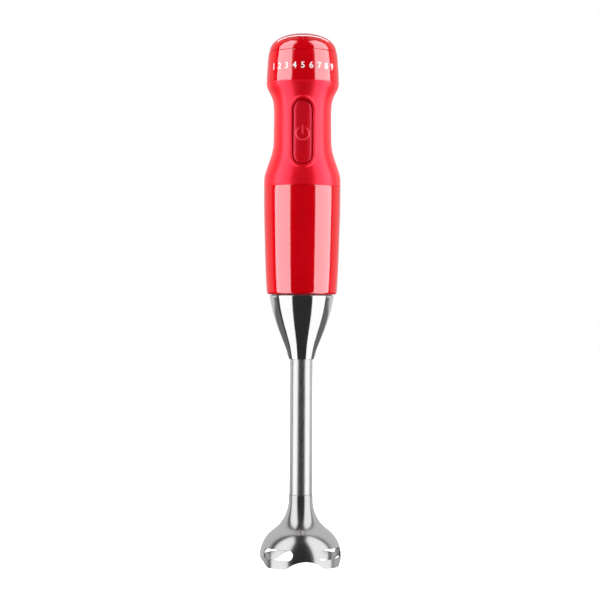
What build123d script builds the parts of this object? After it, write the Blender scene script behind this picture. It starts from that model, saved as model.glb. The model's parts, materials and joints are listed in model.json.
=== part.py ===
"""Immersion blender standing on its bell, in millimetres, with +Z up and the button facing -Y.

The origin is at floor level on the drive axis. Five groups are stacked on that axis:
the speed dial, the handle with its motor, the detachable arm, the detachable bell and the blade.
"""

from math import asin, cos, degrees, hypot, radians, sin
import os

from build123d import *

os.makedirs("parts", exist_ok=True)

# Heights of the outside breaks
total_height = 410.0
dial_low = 395.1
collar_low = 371.4
grip_low = 291.7
sleeve_low = 208.5
cone_high = 207.9
cone_low = 158.5
bell_high = 54.0

# Outside radii
dial_radius = 25.8
collar_radius = 27.95
grip_radius = 29.5
cone_radius = 24.9
tube_radius = 8.9
neck_radius = 9.4
rim_radius = 31.5

# Walls and clearances
shell_wall = 2.2
steel_wall = 1.2
joint_gap = 0.3
running_gap = 0.05

# Twist locks: the arm in the handle and the bell in the arm
twist_travel = 30.0
arm_lugs = 3
bell_lugs = 2

# Power button
button_width = 14.4
button_length = 48.6
button_height = 332.0
button_travel = 2.5
button_gap = 0.9

# Shafts
motor_shaft_radius = 2.5
drive_shaft_radius = 3.0
spindle_radius = 2.5

ground = (Align.CENTER, Align.CENTER, Align.MIN)
front_plane = Plane.XZ  # its normal points to -Y, out of the button


def ring_sector(inner, outer, low, high, start, sweep):
    """A block of a ring: inner and outer radius, low and high, first angle and sweep in degrees."""
    with BuildPart() as block:
        with BuildSketch(Plane.XZ.rotated((0, 0, start))):
            with Locations(((inner + outer) / 2, (low + high) / 2)):
                Rectangle(outer - inner, high - low)
        revolve(axis=Axis.Z, revolution_arc=sweep)
    return block.part


def stadium_bar(width, length, height, front, back):
    """An upright stadium at a height, running along Y from front to back."""
    with BuildPart() as bar:
        with BuildSketch(front_plane.offset(-front)):
            with Locations((0, height)):
                SlotOverall(length, width, rotation=90)
        extrude(amount=front - back)
    return bar.part


def coil_spring(radius, wire, length, turns):
    """A helical spring about its own Z axis, from 0 to its length."""
    pitch = (length - 2 * wire) / turns
    with BuildPart() as spring:
        with BuildLine():
            path = Helix(pitch=pitch, height=length - 2 * wire, radius=radius)
        with BuildSketch(Plane(origin=path @ 0, z_dir=path % 0)):
            Circle(wire)
        sweep(path=path, is_frenet=True)
    return Pos(0, 0, wire) * spring.part


pieces = {}

# bell

shoulder_height = 7.0
throat_height = 50.0
shoulder_bend = 24.6
rise = throat_height - shoulder_height
reach = rim_radius - neck_radius
bends = (rise**2 + reach**2) / (2 * reach)  # sum of the two tangent radii
throat_bend = bends - shoulder_bend
bend_angle = degrees(asin(rise / bends))


def bell_form(inset, low, high):
    """The bell's solid form, drawn in from its outside by inset."""
    shoulder_centre = (rim_radius - shoulder_bend, shoulder_height)
    throat_centre = (neck_radius + throat_bend, throat_height)
    with BuildPart() as form:
        with BuildSketch(Plane.XZ):
            with BuildLine():
                wall = Line((rim_radius - inset, low), (rim_radius - inset, shoulder_height))
                shoulder = CenterArc(shoulder_centre, shoulder_bend - inset, 0, bend_angle)
                throat = CenterArc(throat_centre, throat_bend + inset, 180 + bend_angle, -bend_angle)
                neck = Line(throat @ 1, (neck_radius - inset, high))
                Polyline(neck @ 1, (0, high), (0, low), wall @ 0)
            make_face()
        revolve(axis=Axis.Z)
    return form.part


bell_turn = 7.5  # the arches stand this far round from the button
slot_height = 10.8
slot_size = (27.9, 7.8)
arch_chord = 30.0
arch_rise = 6.2
arch_radius = ((arch_chord / 2) ** 2 + arch_rise**2) / (2 * arch_rise)
arch_fillet = 6.0
bell_sides = 4

with BuildPart() as bell_guard:
    add(bell_form(0, 0, bell_high))
    add(bell_form(steel_wall, -1, bell_high + 1), mode=Mode.SUBTRACT)
    for side in range(bell_sides):
        arch_angle = bell_turn + side * 360 / bell_sides
        with BuildSketch(front_plane.rotated((0, 0, arch_angle))) as arch:
            with Locations((0, arch_rise - arch_radius)):
                Circle(arch_radius)
            with Locations((0, -arch_radius)):
                Rectangle(3 * arch_radius, 2 * arch_radius)
            corners = arch.vertices().filter_by(lambda v: abs(v.Z) < 0.01 and hypot(v.X, v.Y) < arch_chord)
            fillet(corners, arch_fillet)
        extrude(amount=2 * rim_radius, mode=Mode.SUBTRACT)
        with BuildSketch(front_plane.rotated((0, 0, arch_angle + 180 / bell_sides))):
            with Locations((0, slot_height)):
                SlotOverall(*slot_size)
        extrude(amount=2 * rim_radius, mode=Mode.SUBTRACT)
pieces["bell_guard"] = bell_guard

bell_plug_low = 42.0
bell_spigot_radius = 5.9
bell_spigot_high = 65.0
bell_bush_radius = 4.5
bell_bush_low = 44.0
bell_bush_high = 62.0
bell_lug_radius = 6.9
bell_lug_low = 58.5
bell_lug_high = 61.5
bell_lug_width = 24.0

with BuildPart() as bell_insert:
    with BuildSketch(Plane.XY.offset(bell_plug_low)):
        Circle(neck_radius - steel_wall)
    extrude(amount=bell_high - bell_plug_low)
    with BuildSketch(Plane.XY.offset(bell_high)):
        Circle(bell_spigot_radius)
    extrude(amount=bell_spigot_high - bell_high)
    for lug in range(bell_lugs):
        start = lug * 360 / bell_lugs - bell_lug_width / 2
        add(ring_sector(4.6, bell_lug_radius, bell_lug_low, bell_lug_high, start, bell_lug_width))
    with Locations((0, 0, bell_plug_low)):
        Hole(bell_bush_radius + running_gap)
pieces["bell_insert"] = bell_insert

with BuildPart(Plane.XY.offset(bell_bush_low)) as bell_bush:
    Cylinder(bell_bush_radius, bell_bush_high - bell_bush_low, align=ground)
    Hole(spindle_radius + running_gap)
    chamfer(bell_bush.edges().filter_by(GeomType.CIRCLE).group_by(SortBy.RADIUS)[-1], 0.4)
pieces["bell_bush"] = bell_bush

seal_high = bell_bush_low
with BuildPart() as shaft_seal:
    with BuildSketch(Plane.XZ):
        with BuildLine():
            Polyline(
                (spindle_radius + running_gap, seal_high - 0.8),
                (spindle_radius + running_gap, seal_high),
                (bell_bush_radius, seal_high),
                (bell_bush_radius, seal_high - 2.2),
                (3.4, seal_high - 2.2),
                (3.4, seal_high - 1.2),
                close=True,
            )
        make_face()
    revolve(axis=Axis.Z)
pieces["shaft_seal"] = shaft_seal

# blade

blade_height = 16.0
blade_thickness = 1.4
blade_reach = 20.0
blade_width = 9.0
wing_bend = 22.0
blade_turn = 25.0
hub_radius = 4.4
hex_flats = 4.2
hex_low = 66.0
hex_high = 74.2


def blade_wing(turn, bend):
    """One wing of the blade: a flat root, a bent tip and a ground leading edge."""
    root = blade_reach * 0.55
    tip = blade_reach - root
    with BuildPart() as wing:
        with BuildSketch(Plane.XY):
            with BuildLine():
                Polyline((-1, -blade_width / 2), (root, -blade_width / 2), (root, blade_width / 2 - 0.5),
                         (-1, blade_width / 2), close=True)
            make_face()
        extrude(amount=blade_thickness)
        tip_plane = Plane(origin=(root, 0, 0), x_dir=(cos(radians(bend)), 0, sin(radians(bend))),
                          z_dir=(-sin(radians(bend)), 0, cos(radians(bend))))
        with BuildSketch(tip_plane):
            with BuildLine():
                leading = ThreePointArc((-0.2, -blade_width / 2), (tip * 0.6, -blade_width / 2.3),
                                        (tip, 0.6))
                trailing = ThreePointArc(leading @ 1, (tip * 0.55, blade_width / 2.6),
                                         (-0.2, blade_width / 2 - 0.5))
                Line(trailing @ 1, leading @ 0)
            make_face()
        extrude(amount=blade_thickness)
    return Pos(0, 0, blade_height) * Rot(0, 0, turn) * wing.part


with BuildPart() as blade:
    with BuildSketch(Plane.XY.offset(blade_height)):
        Circle(hub_radius + 1.2)
    extrude(amount=blade_thickness)
    add(blade_wing(blade_turn, wing_bend))
    add(blade_wing(blade_turn + 180, -wing_bend / 2))
    Hole(spindle_radius)
pieces["blade"] = blade

with BuildPart(Plane.XY.offset(blade_height - 5)) as blade_spindle:
    Cylinder(spindle_radius, hex_low - blade_height + 5, align=ground)
    with BuildSketch(Plane.XY.offset(hex_low)):
        RegularPolygon(hex_flats / 2, 6, major_radius=False)
    extrude(amount=hex_high - hex_low)
    with BuildSketch(Plane.XY.offset(blade_height + blade_thickness)):
        Circle(hub_radius)
    extrude(amount=2.6)
    chamfer(blade_spindle.faces().sort_by(Axis.Z)[-1].edges(), 0.4)
pieces["blade_spindle"] = blade_spindle

nut_height = 4.0
with BuildPart(Plane.XY.offset(blade_height - nut_height)) as blade_nut:
    with BuildSketch(Plane.XY.offset(blade_height - nut_height)):
        RegularPolygon(4.0, 6, major_radius=False)
    extrude(amount=nut_height)
    with BuildSketch(Plane.XY.offset(blade_height - nut_height)):
        Circle(4.4)
    extrude(amount=nut_height, mode=Mode.INTERSECT)
    Hole(spindle_radius)
pieces["blade_nut"] = blade_nut

# arm

tube_low = bell_high + joint_gap
tube_high = 170.0
tube_bore = 8.0

with BuildPart(Plane.XY.offset(tube_low)) as arm_tube:
    Cylinder(tube_radius, tube_high - tube_low, align=ground)
    Hole(tube_bore)
pieces["arm_tube"] = arm_tube

ferrule_high = 94.0
ferrule_bore = 6.0
ferrule_seat = 78.0
bush_radius = 5.0

with BuildPart() as tube_ferrule:
    with BuildSketch(Plane.XY.offset(tube_low)):
        Circle(tube_bore)
        Circle(bush_radius + running_gap, mode=Mode.SUBTRACT)
    extrude(amount=ferrule_high - tube_low)
    with BuildSketch(Plane.XY.offset(tube_low)):
        Circle(ferrule_bore)
    extrude(amount=ferrule_seat - tube_low, mode=Mode.SUBTRACT)
    for lug in range(bell_lugs):
        middle = lug * 360 / bell_lugs
        entry = bell_lug_width + 4
        start = middle - entry / 2
        add(ring_sector(5, 7.1, tube_low - 1, bell_lug_high + 0.4, start, entry), mode=Mode.SUBTRACT)
        add(ring_sector(5, 7.1, bell_lug_low - 0.4, bell_lug_high + 0.4, start, entry + twist_travel),
            mode=Mode.SUBTRACT)
pieces["tube_ferrule"] = tube_ferrule

with BuildPart(Plane.XY.offset(ferrule_seat)) as arm_lower_bush:
    Cylinder(bush_radius, ferrule_high - ferrule_seat, align=ground)
    Hole(drive_shaft_radius + running_gap)
pieces["arm_lower_bush"] = arm_lower_bush

cone_outline = [
    (9.95, cone_low), (12.1, 166.8), (15.7, 176.0), (19.3, 185.4), (22.4, 195.6), (cone_radius, cone_high),
]

with BuildPart() as arm_cone:
    with BuildSketch(Plane.XZ):
        with BuildLine():
            side = Spline(cone_outline, tangents=[(0.2, 1), (0.14, 1)])
            Polyline(side @ 1, (0, cone_high), (0, cone_low), side @ 0)
        make_face()
    revolve(axis=Axis.Z)
    with BuildSketch(Plane.XZ):
        with BuildLine():
            hollow = Spline([(r - steel_wall, z + 0.5) for r, z in cone_outline[1:]],
                            tangents=[(0.36, 1), (0.14, 1)])
            Polyline(hollow @ 1, (hollow @ 1 + Vector(0, 2)), (0, cone_high + 2.5), (0, hollow.position_at(0).Y),
                     hollow @ 0)
        make_face()
    revolve(axis=Axis.Z, mode=Mode.SUBTRACT)
    Cylinder(tube_radius, 3 * cone_low, mode=Mode.SUBTRACT)
pieces["arm_cone"] = arm_cone

collar_seat = 196.0
collar_top_radius = 23.3
arm_spigot_radius = 17.3
arm_spigot_high = 226.0
arm_spigot_bore = 9.5
arm_lug_radius = 19.0
arm_lug_low = 218.0
arm_lug_high = 221.5
arm_lug_width = 22.0
upper_bush_low = 190.0
upper_bush_high = 204.0

with BuildPart() as arm_collar:
    with BuildSketch(Plane.XZ):
        with BuildLine():
            Polyline((0, upper_bush_low), (8, upper_bush_low), (8, collar_seat), (20.9, collar_seat),
                     (collar_top_radius, cone_high), (arm_spigot_radius, cone_high),
                     (arm_spigot_radius, arm_spigot_high), (0, arm_spigot_high), close=True)
        make_face()
    revolve(axis=Axis.Z)
    for lug in range(arm_lugs):
        start = 90 + lug * 360 / arm_lugs - arm_lug_width / 2
        add(ring_sector(16, arm_lug_radius, arm_lug_low, arm_lug_high, start, arm_lug_width))
    with BuildSketch(Plane.XY.offset(upper_bush_high)):
        Circle(arm_spigot_bore)
    extrude(amount=arm_spigot_high - upper_bush_high, mode=Mode.SUBTRACT)
    with Locations((0, 0, upper_bush_low)):
        Hole(bush_radius + running_gap)
pieces["arm_collar"] = arm_collar

with BuildPart(Plane.XY.offset(upper_bush_low)) as arm_upper_bush:
    Cylinder(bush_radius, upper_bush_high - upper_bush_low, align=ground)
    Hole(drive_shaft_radius + running_gap)
pieces["arm_upper_bush"] = arm_upper_bush

with BuildPart(Plane.XY.offset(cone_high)) as arm_gasket:
    Cylinder(collar_top_radius, sleeve_low - cone_high - 0.1, align=ground)
    Hole(collar_top_radius - 2.4)
pieces["arm_gasket"] = arm_gasket

# drive shaft and its couplings

shaft_socket_low = 67.0
shaft_high = 224.0
spline_teeth = 6
plug_low = 214.0
plug_high = 226.0

with BuildPart(Plane.XY.offset(shaft_socket_low)) as drive_shaft:
    Cylinder(4.8, 9.5, align=ground)
    Cylinder(drive_shaft_radius, shaft_high - shaft_socket_low, align=ground)
    with BuildSketch(Plane.XY.offset(shaft_socket_low)):
        RegularPolygon(hex_flats / 2 + 0.1, 6, major_radius=False)
    extrude(amount=hex_high - shaft_socket_low + 0.6, mode=Mode.SUBTRACT)
pieces["drive_shaft"] = drive_shaft


def spline_profile(radius, tooth_radius, tooth_width):
    """A round with six square teeth, as a sketch."""
    with BuildSketch() as profile:
        Circle(radius)
        with PolarLocations(0, spline_teeth):
            with Locations((tooth_radius / 2, 0)):
                Rectangle(tooth_radius, tooth_width)
    return profile.sketch


with BuildPart(Plane.XY.offset(206)) as driven_coupling:
    Cylinder(6.2, plug_low - 206, align=ground)
    with BuildSketch(Plane.XY.offset(plug_low)):
        add(spline_profile(5.0, 6.6, 1.8))
    extrude(amount=plug_high - plug_low)
    chamfer(driven_coupling.faces().sort_by(Axis.Z)[-1].edges(), 0.5)
    Hole(drive_shaft_radius)
pieces["driven_coupling"] = driven_coupling

coupling_low = 216.0
coupling_high = 236.0
shaft_low = 228.0
with BuildPart(Plane.XY.offset(coupling_low)) as drive_coupling:
    Cylinder(8.6, coupling_high - coupling_low, align=ground)
    with BuildSketch(Plane.XY.offset(coupling_low)):
        add(spline_profile(5.15, 6.75, 2.1))
    extrude(amount=shaft_low - 0.8 - coupling_low, mode=Mode.SUBTRACT)
    with BuildSketch(Plane.XY.offset(shaft_low)):
        Circle(motor_shaft_radius)
    extrude(amount=coupling_high - shaft_low, mode=Mode.SUBTRACT)
    fillet(drive_coupling.faces().sort_by(Axis.Z)[-1].edges().sort_by(SortBy.RADIUS)[-1], 1.5)
pieces["drive_coupling"] = drive_coupling

# handle shells

vent_height = 231.0
vent_size = (14, 1.8)
vent_turns = [90 + 9 * step for step in range(-4, 5)]
sleeve_outline = ((grip_radius, grip_low), (28.7, 240.5), (27.1, sleeve_low))

with BuildPart() as motor_sleeve:
    for inset, mode in ((0, Mode.ADD), (shell_wall, Mode.SUBTRACT)):
        top, middle, bottom = [(r - inset, z) for r, z in sleeve_outline]
        with BuildSketch(Plane.XZ):
            with BuildLine():
                ThreePointArc(top, middle, bottom)
                Polyline(bottom, (0, sleeve_low), (0, grip_low), top)
            make_face()
        revolve(axis=Axis.Z, mode=mode)
    low_edges = motor_sleeve.faces().sort_by(Axis.Z)[0].edges()
    fillet(low_edges.sort_by(SortBy.RADIUS)[-1], 1.8)
    for turn in vent_turns:
        with BuildSketch(Plane.YZ.rotated((0, 0, turn))):
            with Locations((0, vent_height)):
                SlotOverall(*vent_size, rotation=90)
        extrude(amount=2 * grip_radius, mode=Mode.SUBTRACT)
pieces["motor_sleeve"] = motor_sleeve

# Half widths and half depths of the grip up its height
grip_sections = (
    (grip_low, grip_radius, grip_radius),
    (299.5, 29.15, 29.3),
    (307.5, 26.8, 28.0),
    (315.0, 24.2, 26.3),
    (323.0, 22.5, 25.2),
    (337.0, 22.1, 24.8),
    (351.0, 22.1, 24.8),
    (358.0, 22.9, 25.1),
    (363.0, 24.8, 26.0),
    (368.0, 27.4, 27.6),
    (collar_low, collar_radius, collar_radius),
)
# Inside of the grip, which fits over the chassis
chassis_outline = (
    (24.4, 211.0), (26.0, 240.0), (27.0, 285.0), (27.0, 297.0), (24.4, 307.0), (21.5, 316.0),
    (20.1, 324.0), (20.1, 350.0), (20.9, 357.0), (23.0, 364.0), (23.8, 371.4), (23.8, 388.0),
)
chassis_wall = 1.9


def chassis_form(inset, outline):
    """The chassis's solid form, drawn in from its outside by inset."""
    with BuildPart() as form:
        with BuildSketch(Plane.XZ):
            with BuildLine():
                Polyline((0, outline[0][1]), *[(r - inset, z) for r, z in outline],
                         (0, outline[-1][1]), close=True)
            make_face()
        revolve(axis=Axis.Z)
    return form.part


with BuildPart() as grip_form:
    for height, half_width, half_depth in grip_sections:
        with BuildSketch(Plane.XY.offset(height)):
            Ellipse(half_width, half_depth)
    loft()

rim_raise = 0.7
rim_band = 2.3
opening_width = button_width + 2 * button_gap
opening_length = button_length + 2 * button_gap
rim_solid = stadium_bar(opening_width + 2 * rim_band, opening_length + 2 * rim_band, button_height, -32, -20)

with BuildPart() as grip_sleeve:
    add(grip_form.part)
    add(rim_solid & (Pos(0, -rim_raise, 0) * grip_form.part))
    grip_bore = [(r + 0.15, z) for r, z in chassis_outline if grip_low < z <= collar_low]
    grip_bore = [(27.15, grip_low - 1)] + grip_bore + [(23.95, collar_low + 1)]
    add(chassis_form(0, grip_bore), mode=Mode.SUBTRACT)
    add(stadium_bar(opening_width, opening_length, button_height, -40, 0), mode=Mode.SUBTRACT)
pieces["grip_sleeve"] = grip_sleeve

gland_height = 381.0
gland_hole = 5.5
collar_vent_turns = (40, 48, 56, 64, 116, 124, 132, 140)
collar_vent_size = (11, 1.6)
collar_outline = ((collar_radius, collar_low), (27.45, 383.0), (26.4, dial_low - joint_gap))

with BuildPart() as top_collar:
    for inset, mode in ((0, Mode.ADD), (shell_wall, Mode.SUBTRACT)):
        bottom, middle, top = [(r - inset, z) for r, z in collar_outline]
        with BuildSketch(Plane.XZ):
            with BuildLine():
                ThreePointArc(bottom, middle, top)
                Polyline(top, (0, top[1]), (0, bottom[1]), bottom)
            make_face()
        revolve(axis=Axis.Z, mode=mode)
    with BuildSketch(Plane.XZ):
        with Locations((0, gland_height)):
            Circle(gland_hole)
    extrude(amount=-40, mode=Mode.SUBTRACT)
    for vent in collar_vent_turns:
        with BuildSketch(Plane.YZ.rotated((0, 0, vent))):
            with Locations((0, gland_height)):
                SlotOverall(*collar_vent_size, rotation=90)
        extrude(amount=2 * collar_radius, mode=Mode.SUBTRACT)
pieces["top_collar"] = top_collar

# chassis, in two halves on the XZ plane

# Screw bosses: distance out from the axis, and height
boss_places = [(side * out, height) for side in (-1, 1) for out, height in ((21.0, 236.0), (17.0, 314.0), (17.5, 364.0))]
boss_radius = 3.2
boss_reach = 9.0
screw_radius = 1.5
head_radius = 2.7

with BuildPart() as chassis:
    add(chassis_form(0, chassis_outline))
    add(chassis_form(chassis_wall, chassis_outline), mode=Mode.SUBTRACT)
    with BuildSketch(Plane.XZ.offset(boss_reach)):
        with Locations(*boss_places):
            Circle(boss_radius)
    extrude(amount=-2 * boss_reach)
    add(chassis_form(0, chassis_outline), mode=Mode.INTERSECT)
    with BuildSketch(Plane.XZ.offset(boss_reach - 2)):
        with Locations(*boss_places):
            Circle(screw_radius)
    extrude(amount=-60, mode=Mode.SUBTRACT)
    with BuildSketch(Plane.XZ.offset(-boss_reach + 3)):
        with Locations(*boss_places):
            Circle(head_radius + 0.2)
    extrude(amount=-60, mode=Mode.SUBTRACT)
    window = stadium_bar(opening_width + 0.2, opening_length + 0.2, button_height, -40, 0)
    add(window, mode=Mode.SUBTRACT)
    with BuildSketch(Plane.XZ):
        with Locations((0, gland_height)):
            Circle(gland_hole)
    extrude(amount=-40, mode=Mode.SUBTRACT)
    for turn in vent_turns:
        with BuildSketch(Plane.YZ.rotated((0, 0, turn))):
            with Locations((0, vent_height)):
                SlotOverall(*vent_size, rotation=90)
        extrude(amount=2 * grip_radius, mode=Mode.SUBTRACT)

with BuildPart() as chassis_front:
    add(chassis.part)
    split(bisect_by=Plane.XZ, keep=Keep.TOP)
pieces["chassis_front"] = chassis_front

with BuildPart() as chassis_rear:
    add(chassis.part)
    split(bisect_by=Plane.XZ, keep=Keep.BOTTOM)
pieces["chassis_rear"] = chassis_rear

with BuildPart() as chassis_screws:
    with BuildSketch(Plane.XZ.offset(boss_reach - 2)):
        with Locations(*boss_places):
            Circle(screw_radius)
    extrude(amount=-2 * boss_reach + 5)
    with BuildSketch(Plane.XZ.offset(-boss_reach + 3)):
        with Locations(*boss_places):
            Circle(head_radius)
    extrude(amount=-2)
pieces["chassis_screws"] = chassis_screws

socket_low = 208.8
socket_high = 230.0
socket_radius = 22.2
socket_flange = 24.6
socket_throat = 10.0
socket_bore = 17.5
socket_slot = 19.2

with BuildPart() as socket_ring:
    for radius, high in ((socket_radius, socket_high), (socket_flange, chassis_outline[0][1] - 0.2)):
        with BuildSketch(Plane.XY.offset(socket_low)):
            Circle(radius)
            Circle(socket_throat, mode=Mode.SUBTRACT)
        extrude(amount=high - socket_low)
    with BuildSketch(Plane.XY.offset(socket_low)):
        Circle(socket_bore)
    extrude(amount=socket_high - 3 - socket_low, mode=Mode.SUBTRACT)
    for lug in range(arm_lugs):
        entry = arm_lug_width + 4
        start = 90 + lug * 360 / arm_lugs - entry / 2
        add(ring_sector(16, socket_slot, socket_low - 1, arm_lug_high + 0.4, start, entry), mode=Mode.SUBTRACT)
        add(ring_sector(16, socket_slot, arm_lug_low - 0.4, arm_lug_high + 0.4, start, entry + twist_travel),
            mode=Mode.SUBTRACT)
pieces["socket_ring"] = socket_ring

# motor

lower_bracket_low = 250.0
stack_low = 262.0
stack_high = 284.0
upper_bracket_low = 303.0
brush_height = 296.8
holder_size = 8.2
bearing_radius = 6.5
bearing_width = 5.0
lower_bearing_low = 248.5
upper_bearing_low = 304.0
bolt_circle = 15.8
post_radius = 3.2
motor_shaft_high = 312.0

with BuildPart(Plane.XY.offset(shaft_low)) as motor_shaft:
    Cylinder(motor_shaft_radius, motor_shaft_high - shaft_low, align=ground)
    chamfer(motor_shaft.edges().filter_by(GeomType.CIRCLE), 0.4)
pieces["motor_shaft"] = motor_shaft

with BuildPart(Plane.XY.offset(stack_low)) as armature_core:
    Cylinder(12.2, stack_high - stack_low, align=ground)
    Hole(motor_shaft_radius)
    with BuildSketch(Plane.XY.offset(stack_low)):
        with PolarLocations(10.2, 12):
            Rectangle(5, 1.6)
    extrude(amount=stack_high - stack_low, mode=Mode.SUBTRACT)
pieces["armature_core"] = armature_core

with BuildPart() as armature_windings:
    for low in (stack_low - 6, stack_high):
        with BuildSketch(Plane.XZ) as lump:
            with Locations((7.2, low + 3)):
                RectangleRounded(7.6, 6, 1.8)
        revolve(axis=Axis.Z)
pieces["armature_windings"] = armature_windings

commutator_low = 291.5
commutator_radius = 7.4
commutator_length = 10.5
with BuildPart(Plane.XY.offset(commutator_low)) as commutator:
    Cylinder(commutator_radius, commutator_length, align=ground)
    Hole(motor_shaft_radius)
    with BuildSketch(Plane.XY.offset(commutator_low)):
        with PolarLocations(commutator_radius, 12, start_angle=15):
            Rectangle(2, 0.5)
    extrude(amount=commutator_length, mode=Mode.SUBTRACT)
pieces["commutator"] = commutator

fan_low = 238.0
fan_radius = 16.4
with BuildPart(Plane.XY.offset(fan_low)) as cooling_fan:
    Cylinder(fan_radius, 1.2, align=ground)
    Cylinder(5.2, 8.5, align=ground)
    with BuildSketch(Plane.XY.offset(fan_low)):
        with PolarLocations(10.4, 9):
            Rectangle(11, 1.0, rotation=25)
    extrude(amount=8)
    with BuildSketch(Plane.XY.offset(fan_low)):
        Circle(fan_radius)
    extrude(amount=9, mode=Mode.INTERSECT)
    Hole(motor_shaft_radius)
pieces["cooling_fan"] = cooling_fan

with BuildPart(Plane.XY.offset(stack_low)) as stator_core:
    Cylinder(21.5, stack_high - stack_low, align=ground)
    with BuildSketch(Plane.XY.offset(stack_low)):
        Rectangle(43, 37)
    extrude(amount=stack_high - stack_low, mode=Mode.INTERSECT)
    Hole(12.6)
    with BuildSketch(Plane.XY.offset(stack_low)):
        with GridLocations(31.6, 22, 2, 2):
            Rectangle(5.6, 4.4)
        with PolarLocations(bolt_circle, 2, start_angle=90):
            Circle(screw_radius)
    extrude(amount=stack_high - stack_low, mode=Mode.SUBTRACT)
pieces["stator_core"] = stator_core

coil_overhang = 5.5
with BuildPart() as field_coils:
    for side in (-1, 1):
        with BuildSketch(Plane.YZ.offset(side * 15.8 - 2.4)):
            with Locations((0, (stack_low + stack_high) / 2)):
                RectangleRounded(26, stack_high - stack_low + 2 * coil_overhang, 4)
                Rectangle(18, stack_high - stack_low, mode=Mode.SUBTRACT)
        extrude(amount=4.8)
pieces["field_coils"] = field_coils

with BuildPart(Plane.XY.offset(lower_bracket_low)) as motor_lower_bracket:
    Cylinder(19.8, 3, align=ground)
    with BuildSketch(Plane.XY.offset(lower_bearing_low - 1)):
        Circle(9.5)
    extrude(amount=bearing_width + 2.5)
    with BuildSketch(Plane.XY.offset(lower_bracket_low)):
        with PolarLocations(bolt_circle, 2, start_angle=90):
            Circle(post_radius)
    extrude(amount=stack_low - lower_bracket_low)
    with BuildSketch(Plane.XY.offset(lower_bracket_low)):
        with PolarLocations(14.5, 4, start_angle=45):
            Circle(4)
    extrude(amount=3, mode=Mode.SUBTRACT)
    with BuildSketch(Plane.XY.offset(lower_bearing_low)):
        Circle(bearing_radius)
    extrude(amount=-4, mode=Mode.SUBTRACT)
    with BuildSketch(Plane.XY.offset(lower_bearing_low)):
        Circle(bearing_radius)
    extrude(amount=bearing_width, mode=Mode.SUBTRACT)
    with BuildSketch(Plane.XY.offset(lower_bearing_low)):
        Circle(4)
        with PolarLocations(bolt_circle, 2, start_angle=90):
            Circle(screw_radius)
    extrude(amount=40, mode=Mode.SUBTRACT)
pieces["motor_lower_bracket"] = motor_lower_bracket

with BuildPart(Plane.XY.offset(upper_bracket_low)) as motor_upper_bracket:
    Cylinder(19.8, 2.5, align=ground)
    Cylinder(9, bearing_width + 1, align=ground)
    with BuildSketch(Plane.XY.offset(stack_high)):
        with PolarLocations(bolt_circle, 2, start_angle=90):
            Circle(post_radius)
    extrude(amount=upper_bracket_low - stack_high)
    with BuildSketch(Plane.XY.offset(upper_bracket_low)):
        with PolarLocations(14.5, 4, start_angle=45):
            Circle(4)
    extrude(amount=3, mode=Mode.SUBTRACT)
    with BuildSketch(Plane.XY.offset(brush_height + holder_size / 2)):
        with PolarLocations(15, 2):
            Rectangle(6, 8)
    extrude(amount=upper_bracket_low - brush_height - holder_size / 2)
    with BuildSketch(Plane.XY.offset(upper_bearing_low)):
        Circle(bearing_radius)
    extrude(amount=bearing_width, mode=Mode.SUBTRACT)
    with BuildSketch(Plane.XY.offset(stack_high)):
        Circle(4)
        with PolarLocations(bolt_circle, 2, start_angle=90):
            Circle(screw_radius)
    extrude(amount=60, mode=Mode.SUBTRACT)
pieces["motor_upper_bracket"] = motor_upper_bracket

for name, low in (("lower_bearing", lower_bearing_low), ("upper_bearing", upper_bearing_low)):
    with BuildPart(Plane.XY.offset(low)) as bearing:
        Cylinder(bearing_radius, bearing_width, align=ground)
        Hole(motor_shaft_radius + running_gap)
        for face_height, depth in ((low, 0.3), (low + bearing_width, -0.3)):
            with BuildSketch(Plane.XY.offset(face_height)):
                Circle(5.4)
                Circle(3.6, mode=Mode.SUBTRACT)
            extrude(amount=depth, mode=Mode.SUBTRACT)
    pieces[name] = bearing

with BuildPart() as motor_bolts:
    with BuildSketch(Plane.XY.offset(lower_bracket_low)):
        with PolarLocations(bolt_circle, 2, start_angle=90):
            Circle(screw_radius)
    extrude(amount=upper_bracket_low + 2.5 - lower_bracket_low)
    with BuildSketch(Plane.XY.offset(lower_bracket_low)):
        with PolarLocations(bolt_circle, 2, start_angle=90):
            Circle(1.9 * screw_radius)
    extrude(amount=-2)
pieces["motor_bolts"] = motor_bolts

with BuildPart() as brush_holders:
    for side in (-1, 1):
        with BuildSketch(Plane.YZ.offset(side * 8.6)):
            with Locations((0, brush_height)):
                Rectangle(holder_size, holder_size)
                Rectangle(6.2, 6.2, mode=Mode.SUBTRACT)
        extrude(amount=side * 11.4)
        with BuildSketch(Plane.YZ.offset(side * 20)):
            with Locations((0, brush_height)):
                Rectangle(holder_size, holder_size)
        extrude(amount=side * 0.8)
pieces["brush_holders"] = brush_holders

with BuildPart() as carbon_brushes:
    for side in (-1, 1):
        with BuildSketch(Plane.YZ.offset(side * 7.5)):
            with Locations((0, brush_height)):
                Rectangle(6, 6)
        extrude(amount=side * 7)
pieces["carbon_brushes"] = carbon_brushes

with BuildPart() as brush_springs:
    brush_spring = coil_spring(2.2, 0.2, 5.4, 5)
    for side in (-1, 1):
        add(Pos(side * 14.55, 0, brush_height) * Rot(0, side * 90, 0) * brush_spring)
pieces["brush_springs"] = brush_springs

for name, low, inner, outer in (("motor_damper_lower", 249.6, 19.8, 23.9), ("motor_damper_upper", 303.0, 19.8, 22.4)):
    with BuildPart(Plane.XY.offset(low)) as damper:
        Cylinder(outer, 3.4, align=ground)
        Hole(inner)
    pieces[name] = damper

# speed dial

plate_low = 388.0
plate_thickness = 2.5
dome_rise = total_height - dial_low
dome_roundness = 0.552  # a quarter ellipse as one Bezier curve
dial_wall = 2.4
skirt_low = 391.6
skirt_radius = 23.4
skirt_wall = 2.0
dial_lip = 1.2
detent_radius = 0.8
speed_steps = 5
step_angle = 25.0

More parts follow.
